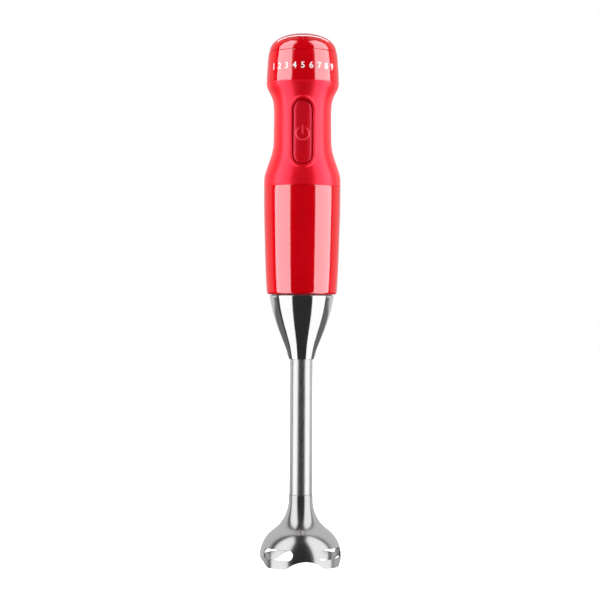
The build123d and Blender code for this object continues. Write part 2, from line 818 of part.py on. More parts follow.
with BuildPart() as speed_dial:
    with BuildSketch(Plane.XZ):
        for inset, mode in ((0, Mode.ADD), (dial_wall, Mode.SUBTRACT)):
            radius = dial_radius - inset
            rise = dome_rise - inset
            with BuildLine():
                dome = Bezier((0, dial_low + rise), (dome_roundness * radius, dial_low + rise),
                              (radius, dial_low + dome_roundness * rise), (radius, dial_low))
                Polyline(dome @ 1, (0, dial_low), dome @ 0)
            make_face(mode=mode)
        with Locations((skirt_radius - skirt_wall / 2, (skirt_low + dial_low + dial_lip) / 2)):
            Rectangle(skirt_wall, dial_low + dial_lip - skirt_low)
        with Locations((skirt_radius, dial_low + dial_lip / 2)):
            Rectangle(skirt_wall, dial_lip)
    revolve(axis=Axis.Z)
    with BuildSketch(Plane.XY.offset(skirt_low)):
        with PolarLocations(skirt_radius - skirt_wall, speed_steps, start_angle=90 - 2 * step_angle,
                            angular_range=speed_steps * step_angle):
            Circle(detent_radius)
    extrude(amount=dial_low - skirt_low, mode=Mode.SUBTRACT)
pieces["speed_dial"] = speed_dial

hub_low = 394.0
hub_web_radius = 21.2
hub_posts = 13.5  # radius of the circle that the posts stand on
with BuildPart(Plane.XY.offset(hub_low)) as dial_hub:
    Cylinder(hub_web_radius, 1.8, align=ground)
    Cylinder(6.5, 8.5, align=ground)
    with BuildSketch(Plane.XY.offset(hub_low)):
        with PolarLocations(hub_posts, 3):
            Circle(2)
    extrude(amount=10.4)
    with BuildSketch(Plane.XY.offset(hub_low)):
        with PolarLocations(hub_posts, 3, start_angle=60):
            Circle(4.5)
    extrude(amount=2, mode=Mode.SUBTRACT)
    with BuildSketch(Plane.XY.offset(hub_low)):
        Circle(3)
        with Locations((0, 3.5)):
            Rectangle(8, 2, mode=Mode.SUBTRACT)
    extrude(amount=8, mode=Mode.SUBTRACT)
pieces["dial_hub"] = dial_hub

pot_shaft_low = 386.5
with BuildPart(Plane.XY.offset(pot_shaft_low)) as pot_shaft:
    Cylinder(3, hub_low - pot_shaft_low, align=ground)
    with BuildSketch(Plane.XY.offset(hub_low)):
        Circle(3)
        with Locations((0, 3.5)):
            Rectangle(8, 2, mode=Mode.SUBTRACT)
    extrude(amount=7.6)
pieces["pot_shaft"] = pot_shaft

pot_low = 376.5
pot_bush_radius = 4.2
pot_bush_high = 392.8
with BuildPart(Plane.XY.offset(pot_low)) as speed_pot:
    with BuildSketch(Plane.XY.offset(pot_low)):
        RectangleRounded(16, 16, 1.5)
    extrude(amount=plate_low - pot_low)
    Cylinder(pot_bush_radius, pot_bush_high - pot_low, align=ground)
    with BuildSketch(Plane.XY.offset(pot_shaft_low - 0.5)):
        Circle(3 + running_gap)
    extrude(amount=10, mode=Mode.SUBTRACT)
pieces["speed_pot"] = speed_pot

with BuildPart(Plane.XY.offset(plate_low + plate_thickness)) as pot_nut:
    with BuildSketch(Plane.XY.offset(plate_low + plate_thickness)):
        RegularPolygon(5.5, 6, major_radius=False)
    extrude(amount=2)
    Hole(pot_bush_radius)
pieces["pot_nut"] = pot_nut

plate_posts = 18.0  # radius of the circle that the plate's posts stand on
post_drop = 9.0
plate_screw_radius = 1.25
with BuildPart(Plane.XY.offset(plate_low)) as top_plate:
    Cylinder(23.8, plate_thickness, align=ground)
    Hole(pot_bush_radius)
    with BuildSketch(Plane.XY.offset(plate_low - post_drop)):
        with PolarLocations(plate_posts, 3, start_angle=30):
            Circle(3)
    extrude(amount=post_drop)
    with BuildSketch(Plane.XY.offset(plate_low - post_drop)):
        with PolarLocations(plate_posts, 3, start_angle=30):
            Circle(plate_screw_radius)
    extrude(amount=2 * post_drop, mode=Mode.SUBTRACT)
pieces["top_plate"] = top_plate

plate_screw_length = 6.0
with BuildPart() as top_plate_screws:
    with BuildSketch(Plane.XY.offset(plate_low - plate_screw_length)):
        with PolarLocations(plate_posts, 3, start_angle=30):
            Circle(plate_screw_radius)
    extrude(amount=plate_screw_length + plate_thickness)
    with BuildSketch(Plane.XY.offset(plate_low + plate_thickness)):
        with PolarLocations(plate_posts, 3, start_angle=30):
            Circle(2.4)
    extrude(amount=1.6)
pieces["top_plate_screws"] = top_plate_screws

with BuildPart() as detent_spring:
    with BuildSketch(Plane.XY.offset(plate_low + plate_thickness)):
        with BuildLine():
            ThreePointArc((-9, 16.5), (0, 20.2), (9, 16.5))
            ThreePointArc((9, 16.5), (0, 19.6), (-9, 16.5))
        make_face()
        with Locations((0, 20.3)):
            Circle(detent_radius)
        with Locations((-9.4, 16.2), (9.4, 16.2)):
            Circle(1.2)
    extrude(amount=2.8)
pieces["detent_spring"] = detent_spring

# power button and switch

face_drop = 0.8  # the cap lies this far under the grip's surface
cap_back = -15.3
cap_wall = 1.8

with BuildPart() as power_button:
    cap_bar = stadium_bar(button_width, button_length, button_height, -32, cap_back)
    add(cap_bar & (Pos(0, face_drop, 0) * grip_form.part))
    well_width = button_width - 2 * cap_wall
    well_length = button_length - 2 * cap_wall
    well_bar = stadium_bar(well_width, well_length, button_height, -32, cap_back + 1)
    add(well_bar & (Pos(0, face_drop + cap_wall, 0) * grip_form.part), mode=Mode.SUBTRACT)
pieces["power_button"] = power_button

spring_drop = 11.0
plunger_back = 14.1
plunger_size = (19, 51.8)
with BuildPart() as button_plunger:
    add(stadium_bar(*plunger_size, button_height, cap_back, -plunger_back))
    with BuildSketch(front_plane.offset(plunger_back)):
        with Locations((0, button_height)):
            Rectangle(5, 7)
    extrude(amount=-4.9)
    with BuildSketch(front_plane.offset(plunger_back)):
        with Locations((0, button_height - spring_drop), (0, button_height + spring_drop)):
            Circle(1.6)
    extrude(amount=-1.6)
pieces["button_plunger"] = button_plunger

with BuildPart() as button_springs:
    return_spring = coil_spring(2.3, 0.25, 7.0, 5)
    for drop in (-spring_drop, spring_drop):
        add(Pos(0, -14.05, button_height + drop) * Rot(-90, 0, 0) * return_spring)
pieces["button_springs"] = button_springs

with BuildPart() as switch_bracket:
    with BuildSketch(front_plane.offset(7)):
        with Locations((0, button_height)):
            Rectangle(32, 27)
            Rectangle(7, 14, mode=Mode.SUBTRACT)
    extrude(amount=-1.6)
pieces["switch_bracket"] = switch_bracket

board_front = 3.0
with BuildPart() as microswitch:
    with BuildSketch(front_plane.offset(3.5)):
        with Locations((0, button_height)):
            RectangleRounded(5.8, 12.8, 0.6)
    extrude(amount=-3.5 - board_front)
    with BuildSketch(front_plane.offset(3.5)):
        with Locations((0, button_height)):
            Circle(1.2)
    extrude(amount=3.0)
pieces["microswitch"] = microswitch

with BuildPart() as control_board:
    with BuildSketch(front_plane.offset(-board_front)):
        with Locations((0, 341.5)):
            RectangleRounded(26, 60, 2)
        with Locations((-10.5, 315), (10.5, 367)):
            Circle(1.3, mode=Mode.SUBTRACT)
    extrude(amount=-1.6)
pieces["control_board"] = control_board

board_back = board_front + 1.6
with BuildPart() as board_components:
    with BuildSketch(front_plane.offset(-board_back)):
        with Locations((-4, 321)):
            RectangleRounded(13, 11, 0.8)
    extrude(amount=-6)
    with BuildSketch(front_plane.offset(-board_back)):
        with Locations((6, 338)):
            Circle(4)
    extrude(amount=-8)
    with BuildSketch(front_plane.offset(-board_back)):
        with Locations((-5.5, 338)):
            Circle(5)
            Circle(2.4, mode=Mode.SUBTRACT)
    extrude(amount=-4.5)
pieces["board_components"] = board_components

with BuildPart() as triac_heatsink:
    with BuildSketch(front_plane.offset(-board_back)):
        with Locations((0, 356)):
            Rectangle(20, 1.5)
        with Locations((-8, 359), (-2.7, 359), (2.7, 359), (8, 359)):
            Rectangle(1.2, 6)
    extrude(amount=-9)
pieces["triac_heatsink"] = triac_heatsink

# cord entry

cord_bore = 3.5
gland_face = 30.6
gland_plane = Plane(origin=(0, 0, gland_height), x_dir=(0, 1, 0), z_dir=(1, 0, 0))
with BuildPart() as cord_gland:
    with BuildSketch(gland_plane):
        with BuildLine():
            Polyline((18.8, cord_bore), (18.8, 6.6), (20.6, 6.6), (20.6, gland_hole), (28.0, gland_hole),
                     (28.0, 7.4), (29.4, 7.2), (gland_face, 6.0), (gland_face, cord_bore), close=True)
        make_face()
    revolve(axis=Axis((0, 0, gland_height), (0, 1, 0)))
pieces["cord_gland"] = cord_gland

clamp_low = gland_height - 1.5
with BuildPart() as cord_clamp:
    with BuildSketch(Plane.XZ.offset(-11)):
        with Locations((0, (clamp_low + plate_low) / 2)):
            Rectangle(20, plate_low - clamp_low)
        with Locations((0, gland_height)):
            Circle(cord_bore, mode=Mode.SUBTRACT)
        with Locations((0, gland_height - 3)):
            Rectangle(2 * cord_bore, 6, mode=Mode.SUBTRACT)
    extrude(amount=-6)
    with BuildSketch(Plane.XY.offset(gland_height)):
        with Locations((-7, 14), (7, 14)):
            Circle(1.2)
    extrude(amount=20, both=True, mode=Mode.SUBTRACT)
pieces["cord_clamp"] = cord_clamp

with BuildPart() as cord_clamp_screws:
    with BuildSketch(Plane.XY.offset(clamp_low)):
        with Locations((-7, 14), (7, 14)):
            Circle(2.2)
    extrude(amount=-1.4)
    with BuildSketch(Plane.XY.offset(clamp_low)):
        with Locations((-7, 14), (7, 14)):
            Circle(1.2)
    extrude(amount=plate_low - clamp_low)
pieces["cord_clamp_screws"] = cord_clamp_screws

for name, piece in pieces.items():
    piece.part.label = name
    export_step(piece.part, f"parts/{name}.step")
print(len(pieces), "pieces")
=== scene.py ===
import json
import math

import bmesh
import bpy
from mathutils import Matrix, Vector


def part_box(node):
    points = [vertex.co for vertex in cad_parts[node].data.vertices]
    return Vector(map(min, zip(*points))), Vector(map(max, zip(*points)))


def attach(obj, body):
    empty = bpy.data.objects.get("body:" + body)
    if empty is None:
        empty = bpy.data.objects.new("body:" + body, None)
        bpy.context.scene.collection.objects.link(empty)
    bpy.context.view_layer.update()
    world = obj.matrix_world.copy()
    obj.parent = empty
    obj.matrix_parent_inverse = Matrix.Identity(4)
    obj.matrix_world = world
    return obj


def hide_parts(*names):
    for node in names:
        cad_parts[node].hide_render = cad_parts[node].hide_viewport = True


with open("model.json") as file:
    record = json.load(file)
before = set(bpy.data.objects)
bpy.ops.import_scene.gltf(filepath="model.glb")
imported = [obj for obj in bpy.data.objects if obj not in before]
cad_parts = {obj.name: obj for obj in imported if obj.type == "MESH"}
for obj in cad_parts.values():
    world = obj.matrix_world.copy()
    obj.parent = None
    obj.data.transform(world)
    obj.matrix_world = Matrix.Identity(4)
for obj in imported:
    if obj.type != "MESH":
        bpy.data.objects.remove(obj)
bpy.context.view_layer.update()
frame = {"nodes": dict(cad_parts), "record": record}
mm = 0.001


def toLinear(hexColour):
    channels = [int(hexColour[i:i + 2], 16) / 255 for i in (1, 3, 5)]
    return [c / 12.92 if c <= 0.04045 else ((c + 0.055) / 1.055) ** 2.4 for c in channels] + [1.0]


def curveThrough(points, perSpan=8):
    # smooth line through a few points, as Catmull-Rom spans
    first = [2 * a - b for a, b in zip(points[0], points[1])]
    last = [2 * a - b for a, b in zip(points[-1], points[-2])]
    held = [first] + [list(p) for p in points] + [last]
    line = []
    for before, start, end, after in zip(held, held[1:], held[2:], held[3:]):
        for step in range(perSpan):
            t = step / perSpan
            line.append([0.5 * (2 * b + (c - a) * t + (2 * a - 5 * b + 4 * c - d) * t * t
                                + (3 * b - a - 3 * c + d) * t ** 3)
                         for a, b, c, d in zip(before, start, end, after)])
    return line + [list(points[-1])]


def arc(centre, radius, startDegrees, endDegrees, steps):
    turns = [math.radians(startDegrees + (endDegrees - startDegrees) * i / steps) for i in range(steps + 1)]
    return [[centre[0] + radius * math.cos(t), centre[1] + radius * math.sin(t)] for t in turns]


def roundedLine(corners, steps=4):
    # corners are [radius, height, fillet]; each fillet becomes an arc
    line = []
    for i, (r, z, fillet) in enumerate(corners):
        here = Vector((r, z))
        if not fillet:
            line.append([r, z])
            continue
        back = (Vector(corners[i - 1][:2]) - here).normalized()
        ahead = (Vector(corners[(i + 1) % len(corners)][:2]) - here).normalized()
        half = back.angle(ahead) / 2
        reach = fillet / math.tan(half)
        middle = here + (back + ahead).normalized() * fillet / math.sin(half)
        first, last = here + back * reach - middle, here + ahead * reach - middle
        for step in range(steps + 1):
            spoke = first.lerp(last, step / steps).normalized() * fillet
            line.append(list(middle + spoke))
    return line


def lathe(line, steps, closed=False):
    # line holds [radius, height] in millimetres
    bm = bmesh.new()
    verts = [bm.verts.new((r * mm, 0, z * mm)) for r, z in line]
    pairs = list(zip(verts, verts[1:] + verts[:1])) if closed else list(zip(verts, verts[1:]))
    edges = [bm.edges.new(pair) for pair in pairs]
    bmesh.ops.spin(bm, geom=verts + edges, cent=(0, 0, 0), axis=(0, 0, 1), angle=2 * math.pi,
                   steps=steps, use_merge=True)
    bmesh.ops.remove_doubles(bm, verts=bm.verts, dist=0.002 * mm)
    bmesh.ops.recalc_face_normals(bm, faces=bm.faces)
    return bm


def faceOutwards(bm):
    lean = sum(f.normal.xy.dot(f.calc_center_median().xy) for f in bm.faces)
    if lean < 0:
        bmesh.ops.reverse_faces(bm, faces=bm.faces)


def thicken(bm, wall, level=True):
    # gives an open skin a wall on its inner side, moved in level or along the skin's own normals
    faceOutwards(bm)
    bm.normal_update()
    inwards = {}
    for vert in bm.verts:
        way = Vector((vert.normal.x, vert.normal.y, 0)).normalized() if level else vert.normal
        inwards[tuple(vert.co)] = way * -wall * mm
    made = bmesh.ops.extrude_face_region(bm, geom=bm.faces[:], use_keep_orig=True)
    for vert in [v for v in made["geom"] if isinstance(v, bmesh.types.BMVert)]:
        vert.co += inwards[tuple(vert.co)]
    bmesh.ops.recalc_face_normals(bm, faces=bm.faces)


def softenEdges(bm, width, sharper=50):
    edges = [e for e in bm.edges if len(e.link_faces) == 2 and e.calc_face_angle() > math.radians(sharper)]
    bmesh.ops.bevel(bm, geom=edges, offset=width * mm, offset_type="OFFSET", affect="EDGES",
                    segments=2, profile=0.5, material=-1, clamp_overlap=True)


def finishPiece(bm, name, body, finish, stands=(), crease=32):
    mesh = bpy.data.meshes.new(name)
    bm.normal_update()
    bm.to_mesh(mesh)
    bm.free()
    piece = bpy.data.objects.new(name, mesh)
    bpy.context.scene.collection.objects.link(piece)
    mesh.shade_smooth()
    mesh.set_sharp_from_angle(angle=math.radians(crease))
    mesh.materials.append(finish)
    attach(piece, body)
    if stands:
        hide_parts(*stands)
    return piece


def mergeInto(bm, other):
    mesh = bpy.data.meshes.new("spare")
    other.to_mesh(mesh)
    other.free()
    bm.from_mesh(mesh)
    bpy.data.meshes.remove(mesh)


def boundaryLoop(bm, near):
    # the open edges around one hole, whose vertices all lie near its middle
    return [e for e in bm.edges if e.is_boundary and all(near(v.co) for v in e.verts)]


def growRing(bm, loop, place):
    # extrudes an open loop once, and puts each new vertex where place says from the old one
    made = bmesh.ops.extrude_edge_only(bm, edges=loop)
    newVerts = [v for v in made["geom"] if isinstance(v, bmesh.types.BMVert)]
    for vert in newVerts:
        vert.co = place(vert.co.copy())
    return [e for e in made["geom"] if isinstance(e, bmesh.types.BMEdge) and e.is_boundary]


def cutVents(bm, turns, halfTurn, low, high, middleLift):
    # removes columns of faces, and rounds each opening's ends
    doomed = set()
    for turn in turns:
        for face in bm.faces:
            centre = face.calc_center_median()
            away = math.degrees(math.atan2(centre.y, centre.x)) - turn
            if abs(away) < halfTurn and low * mm < centre.z < high * mm:
                doomed.add(face)
    bmesh.ops.delete(bm, geom=list(doomed), context="FACES")
    for vert in bm.verts:
        away = min(abs(math.degrees(math.atan2(vert.co.y, vert.co.x)) - turn) for turn in turns)
        if vert.is_boundary and away < 0.1:
            if abs(vert.co.z - high * mm) < 0.01 * mm:
                vert.co.z += middleLift * mm
            elif abs(vert.co.z - low * mm) < 0.01 * mm:
                vert.co.z -= middleLift * mm


def addNode(material, kind, settings=None, links=None):
    # settings go on sockets or properties; links are {input socket: (node, output socket)}
    node = material.node_tree.nodes.new(kind)
    for key, value in (settings or {}).items():
        if key in node.inputs:
            node.inputs[key].default_value = value
        else:
            setattr(node, key, value)
    for key, (source, output) in (links or {}).items():
        material.node_tree.links.new(source.outputs[output], node.inputs[key])
    return node


def newFinish(name, **sockets):
    material = bpy.data.materials.new(name)
    material.use_nodes = True
    shader = material.node_tree.nodes["Principled BSDF"]
    for key, value in sockets.items():
        shader.inputs[key.replace("_", " ")].default_value = value
    return material, shader


def join(material, source, output, target, socket):
    material.node_tree.links.new(source.outputs[output], target.inputs[socket])


def ramp(material, source, output, low, high, start=0.35, end=0.65):
    # turns a pattern into a value between low and high
    return addNode(material, "ShaderNodeMapRange",
                   {"From Min": start, "From Max": end, "To Min": low, "To Max": high},
                   {"Value": (source, output)})


def blendColours(material, shader, colourA, colourB, source, output):
    # mixes two colours by a pattern into the base colour; 6, 7 and 2 are the mix node's colour sockets
    mix = addNode(material, "ShaderNodeMix", {"data_type": "RGBA"})
    mix.inputs[6].default_value = toLinear(colourA)
    mix.inputs[7].default_value = toLinear(colourB)
    join(material, source, output, mix, "Factor")
    join(material, mix, 2, shader, "Base Color")


def tintedNoise(material, shader, colourA, colourB, size, detail=3.0, rough=None, bump=None, stretch=None):
    # size is the pattern's grain and bump its depth, in millimetres; rough is the roughness range
    place = addNode(material, "ShaderNodeTexCoord")
    source = (place, "Object")
    if stretch:
        squeeze = addNode(material, "ShaderNodeMapping", {"Scale": stretch}, {"Vector": source})
        source = (squeeze, "Vector")
    noise = addNode(material, "ShaderNodeTexNoise", {"Scale": 1 / (size * mm), "Detail": detail},
                    {"Vector": source})
    blendColours(material, shader, colourA, colourB, ramp(material, noise, "Fac", 0, 1), "Result")
    if rough:
        join(material, ramp(material, noise, "Fac", rough[0], rough[1]), "Result", shader, "Roughness")
    if bump:
        relief = addNode(material, "ShaderNodeBump", {"Strength": 1.0, "Distance": bump * mm},
                         {"Height": (noise, "Fac")})
        join(material, relief, "Normal", shader, "Normal")


redShell = {"deep": "#C9000E", "bright": "#CE0111", "flowSize": 18, "rough": (0.045, 0.07),
            "rippleDepth": 0.004}


def glossRedShell():
    # injection-moulded ABS from a polished tool: clean red, mirror-sharp gloss, a faint flow ripple
    material, shader = newFinish("glossRedAbs", IOR=1.5)
    tintedNoise(material, shader, redShell["deep"], redShell["bright"], redShell["flowSize"],
                rough=redShell["rough"], bump=redShell["rippleDepth"])
    return material


gripSkin = {"deep": "#CB000E", "bright": "#D10112", "grain": 0.55, "rough": (0.27, 0.33), "depth": 0.012}
buttonSkin = {"deep": "#BA000E", "bright": "#C00112", "grain": 0.5, "rough": (0.25, 0.3), "depth": 0.008}
# the mark's paler red is painted highlight, standing in for light caught on its raised edges
markSkinPaintedHighlight = {"deep": "#D8122A", "bright": "#E01A30", "grain": 0.5, "rough": (0.3, 0.36), "depth": 0.006}
pinkSheen = "#FF7EA2"


def mouldedRed(name, skin, **sockets):
    material, shader = newFinish(name, IOR=1.5, **sockets)
    tintedNoise(material, shader, skin["deep"], skin["bright"], skin["grain"], detail=2.0,
                rough=skin["rough"], bump=skin["depth"])
    return material


def softTouchRed():
    # soft-touch elastomer over the shell: matt red with broad pink highlights and a fine eroded grain
    return mouldedRed("softTouchRedTpe", gripSkin, Specular_Tint=toLinear(pinkSheen))


def satinRedButton():
    # the same elastomer on the button, from a slightly smoother tool
    return mouldedRed("satinRedButtonTpe", buttonSkin, Specular_Tint=toLinear(pinkSheen))


def paintedHighlightRedMark():
    # the moulded power mark, in a paler red than the button: painted highlight for the light caught on its
    # raised edges
    return mouldedRed("paintedHighlightRedMark", markSkinPaintedHighlight)


def polishedStainless(name, colours, rough, wave, lineDepth):
    # drawn stainless steel, mirror polished: sharp reflections, softened by faint lengthwise polishing lines
    material, shader = newFinish(name, Metallic=1.0)
    tintedNoise(material, shader, colours[0], colours[1], 0.4, detail=4.0, rough=rough,
                bump=lineDepth, stretch=(1.0, 1.0, wave))
    return material


def groundSteel(name, pale, dark, rough, lineSize):
    # ground or turned steel: fine machining marks that spread the highlights
    material, shader = newFinish(name, Metallic=1.0)
    tintedNoise(material, shader, dark, pale, lineSize, detail=5.0, rough=rough, bump=0.004,
                stretch=(1, 1, 6))
    return material


def mouldedPlastic(name, dark, pale, rough, grain=0.6, depth=0.01):
    # glass-filled nylon and the like: dull, with an eroded tool grain
    material, shader = newFinish(name, IOR=1.5)
    tintedNoise(material, shader, dark, pale, grain, rough=rough, bump=depth)
    return material


def bandedMetal(name, wave, dark, pale, depth, **sockets):
    # level bands of two colours, each standing up a little; depth is in millimetres
    material, shader = newFinish(name, **sockets)
    place = addNode(material, "ShaderNodeTexCoord")
    bands = addNode(material, "ShaderNodeTexWave", {**wave, "bands_direction": "Z"},
                    {"Vector": (place, "Object")})
    blendColours(material, shader, dark, pale, bands, "Fac")
    relief = addNode(material, "ShaderNodeBump", {"Distance": depth * mm}, {"Height": (bands, "Fac")})
    join(material, relief, "Normal", shader, "Normal")
    return material


def wovenCopper():
    # enamelled magnet wire under varnish: bright orange copper in fine parallel turns
    wave = {"Scale": 1 / (2.4 * mm), "Distortion": 1.2, "Detail": 1.0}
    return bandedMetal("enamelledCopperWire", wave, "#6E2A12", "#C9682F", 0.1,
                       Metallic=1.0, Roughness=0.32, Coat_Weight=0.4)


def stackedLaminations():
    # punched silicon-steel sheets, varnished: dark grey with fine level lines
    return bandedMetal("varnishedLaminations", {"Scale": 1 / (3.1 * mm)}, "#2A2B2E", "#5C5E63", 0.05,
                       Metallic=0.8, Roughness=0.42)


def whitePrint():
    # pad-printed white ink: flat, opaque, a touch glossy
    material, shader = newFinish("padPrintedWhite", IOR=1.5)
    tintedNoise(material, shader, "#F2F2F2", "#FFFFFF", 1.0, rough=(0.3, 0.4))
    return material


finishes = {
    "gloss_red_shell": glossRedShell(),
    "soft_red_grip": softTouchRed(),
    "red_button": satinRedButton(),
    "polished_stainless": polishedStainless("polishedStainlessCone", ("#E6E6E6", "#EDEDED"), (0.07, 0.1),
                                            0.04, 0.0006),
    "ground_blade_steel": groundSteel("groundBladeSteel", "#D9D9D7", "#B9B9B8", (0.2, 0.3), 0.5),
    "shaft_steel": groundSteel("groundShaftSteel", "#C4C5C7", "#A2A3A6", (0.2, 0.3), 0.5),
    "zinc_steel": groundSteel("zincPlatedSteel", "#C9CBD0", "#A9ABB2", (0.28, 0.4), 0.8),
    "finned_aluminium": groundSteel("castAluminium", "#C8C9CB", "#A5A6A9", (0.38, 0.5), 0.7),
    "bronze_bush": groundSteel("sinteredBronze", "#B98B4A", "#8A6232", (0.38, 0.5), 0.5),
    "brass_fitting": groundSteel("turnedBrass", "#D9B45C", "#B8923F", (0.22, 0.32), 0.5),
    "black_nylon": mouldedPlastic("blackGlassNylon", "#17171A", "#232327", (0.42, 0.55)),
    "grey_nylon": mouldedPlastic("greyGlassNylon", "#8B8C8E", "#9B9C9E", (0.4, 0.52)),
    "white_acetal": mouldedPlastic("whiteAcetal", "#DDDBD3", "#E9E7E0", (0.3, 0.4)),
    "board_parts": mouldedPlastic("blackComponentEpoxy", "#1A1A1C", "#26262A", (0.35, 0.5)),
    "green_board": mouldedPlastic("greenSolderMask", "#0D4A26", "#125C31", (0.25, 0.35), 2.5, 0.01),
    "carbon": mouldedPlastic("pressedCarbon", "#131315", "#1D1D20", (0.5, 0.65)),
    "black_rubber": mouldedPlastic("blackNitrileRubber", "#141415", "#1D1D1E", (0.55, 0.7), 0.5, 0.02),
    "grey_silicone": mouldedPlastic("greySilicone", "#5E5F62", "#6B6C70", (0.45, 0.55)),
    "copper_winding": wovenCopper(),
    "lamination_steel": stackedLaminations(),
}
tubeSteel = polishedStainless("drawnStainlessTube", ("#E6E6E6", "#EEEEEE"), (0.27, 0.31), 0.04, 0.001)
bellSteel = polishedStainless("satinStainlessBell", ("#D2D2D2", "#DADADA"), (0.17, 0.22), 0.5, 0.0015)
inkWhite = whitePrint()

slotOf = {entry["node"]: entry["material_slot"] for entry in frame["record"]["subparts"]}
for node, cadPiece in frame["nodes"].items():
    cadPiece.data.materials.clear()
    cadPiece.data.materials.append(finishes[slotOf[node]])
print("finishes made for", len(frame["nodes"]), "nodes")


# heights in millimetres, taken from the frame
dialLow, dialHigh = (corner.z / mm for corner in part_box("speed_dial"))
collarLow, collarHigh = (corner.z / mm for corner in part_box("top_collar"))
gripLow, gripHigh = (corner.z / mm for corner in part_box("grip_sleeve"))
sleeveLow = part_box("motor_sleeve")[0].z / mm
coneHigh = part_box("arm_cone")[1].z / mm
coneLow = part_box("arm_cone")[0].z / mm
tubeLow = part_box("arm_tube")[0].z / mm
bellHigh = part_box("bell_guard")[1].z / mm

dial = {"radius": 25.75, "roundness": 2.12, "wall": 2.2, "edge": 0.5, "steps": 160,
        "seam": 0.3, "skirt": (21.4, 23.4), "tick": (0.5, 5.5, 0.35), "tickRadius": 20.6, "tickEdge": 0.3}


def domeLine(radius, low, high, power, points=26):
    line = []
    for i in range(points + 1):
        t = math.pi / 2 * i / points
        line.append([radius * math.cos(t) ** (2 / power), low + (high - low) * math.sin(t) ** (2 / power)])
    return line


def withLevels(line, levels, radii, clear):
    # swaps the points near each level for one right on it, so that a row of faces ends there
    kept = [p for p in line if all(abs(p[1] - level) > clear for level in levels)]
    return sorted(kept + [[r, z] for r, z in zip(radii, levels)], key=lambda p: p[1])


def makeDial():
    low = collarHigh + dial["seam"]
    outer = domeLine(dial["radius"], low + dial["edge"], dialHigh, dial["roundness"])
    inner = domeLine(dial["radius"] - dial["wall"], low, dialHigh - dial["wall"], dial["roundness"])
    outer[-1][0] = inner[-1][0] = 0.0
    lip = arc((dial["radius"] - dial["edge"], low + dial["edge"]), dial["edge"], -90, 0, 4)
    skirtIn, skirtOut = dial["skirt"]
    skirt = [[skirtIn, low], [skirtIn, dialLow], [skirtOut, dialLow], [skirtOut, low]]
    bm = lathe(list(reversed(inner)) + skirt + lip[:-1] + outer, dial["steps"])
    # a small raised pointer on the dome, in line with the marks
    width, length, height = dial["tick"]
    tick = bmesh.new()
    bmesh.ops.create_cube(tick, size=mm)
    bmesh.ops.scale(tick, vec=(width * 2, length, 2 * height), verts=tick.verts)
    bmesh.ops.bevel(tick, geom=tick.edges[:], offset=dial["tickEdge"] * mm, affect="EDGES", segments=3,
                    profile=0.5, material=-1)
    bmesh.ops.translate(tick, vec=(0, -dial["tickRadius"] * mm, 0), verts=tick.verts)
    for vert in tick.verts:
        r = min(vert.co.xy.length / mm / dial["radius"], 0.999)
        rise = (1 - r ** dial["roundness"]) ** (1 / dial["roundness"])
        vert.co.z += (low + dial["edge"] + (dialHigh - low - dial["edge"]) * rise) * mm
    mergeInto(bm, tick)
    return finishPiece(bm, "dialCap", "speed_dial", finishes["gloss_red_shell"], ["speed_dial"])


collar = {"line": ((27.95, collarLow), (27.75, 377.5), (27.35, 384.0), (26.95, 390.0), (26.4, collarHigh)),
          "wall": 2.2, "edge": 0.35, "steps": 180, "ventTurns": (40, 48, 56, 64, 116, 124, 132, 140),
          "ventHeights": (376.0, 386.0), "ventRadii": (27.82, 27.23), "ventHalfTurn": 1.99, "ventLift": 0.7,
          "glandHole": 5.2}


def makeCollar():
    line = withLevels(curveThrough(collar["line"], 6), collar["ventHeights"], collar["ventRadii"], 0.4)
    bm = lathe(line, collar["steps"])
    cutVents(bm, collar["ventTurns"], collar["ventHalfTurn"], *collar["ventHeights"], collar["ventLift"])
    glandLow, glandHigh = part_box("cord_gland")
    gland = Vector((0, (glandLow.z + glandHigh.z) / 2))
    hidden = [f for f in bm.faces if f.calc_center_median().y > 0
              and (f.calc_center_median().xz - gland).length < collar["glandHole"] * mm]
    bmesh.ops.delete(bm, geom=hidden, context="FACES")
    thicken(bm, collar["wall"])
    softenEdges(bm, collar["edge"])
    return finishPiece(bm, "collarBand", "motor_body", finishes["gloss_red_shell"], ["top_collar"])


sleeve = {"line": ((27.1, 210.9), (27.65, 219.5), (28.3, 234), (28.8, 250), (29.35, 270), (29.5, 283)),
          "topRadius": 29.5, "topGap": 0.12, "cornerRadius": 2.2, "wall": 2.2, "steps": 160, "edge": 0.3,
          "ventTurns": [90 + 9 * step for step in range(-4, 5)], "ventHeights": (224.9, 237.1),
          "ventRadii": (27.93, 28.42), "ventHalfTurn": 2.2, "ventLift": 0.8}


def makeSleeve():
    corner = arc((sleeve["line"][0][0] - sleeve["cornerRadius"], sleeveLow + sleeve["cornerRadius"]),
                 sleeve["cornerRadius"], -90, 0, 7)
    side = curveThrough(sleeve["line"] + ((sleeve["topRadius"], gripLow - sleeve["topGap"]),), 8)
    line = withLevels(side, sleeve["ventHeights"], sleeve["ventRadii"], 0.5)
    bm = lathe(corner[:-1] + line, sleeve["steps"])
    cutVents(bm, sleeve["ventTurns"], sleeve["ventHalfTurn"], *sleeve["ventHeights"], sleeve["ventLift"])
    thicken(bm, sleeve["wall"])
    softenEdges(bm, sleeve["edge"])
    return finishPiece(bm, "motorCasing", "motor_body", finishes["gloss_red_shell"], ["motor_sleeve"])


makeDial()
makeCollar()
makeSleeve()
print("dial, collar and casing done")


# the grip's stations are height, half-width and half-depth
grip = {"stations": ((291.7, 29.5, 29.5), (299.5, 29.15, 29.3), (307.5, 26.8, 28.0), (315, 24.2, 26.3),
                     (323, 22.5, 25.2), (337, 22.1, 24.8), (351, 22.1, 24.8), (358, 22.9, 25.1),
                     (363, 24.8, 26.0), (368, 27.4, 27.6), (371.4, 27.95, 27.95)),
        "columns": 144, "rowStep": 2.2, "wall": 1.6, "edge": 0.3, "openTurn": 38.0, "openHeight": 30.6,
        "nearOpening": 36}
buttonBed = {"height": 332.0, "straight": 17.1}
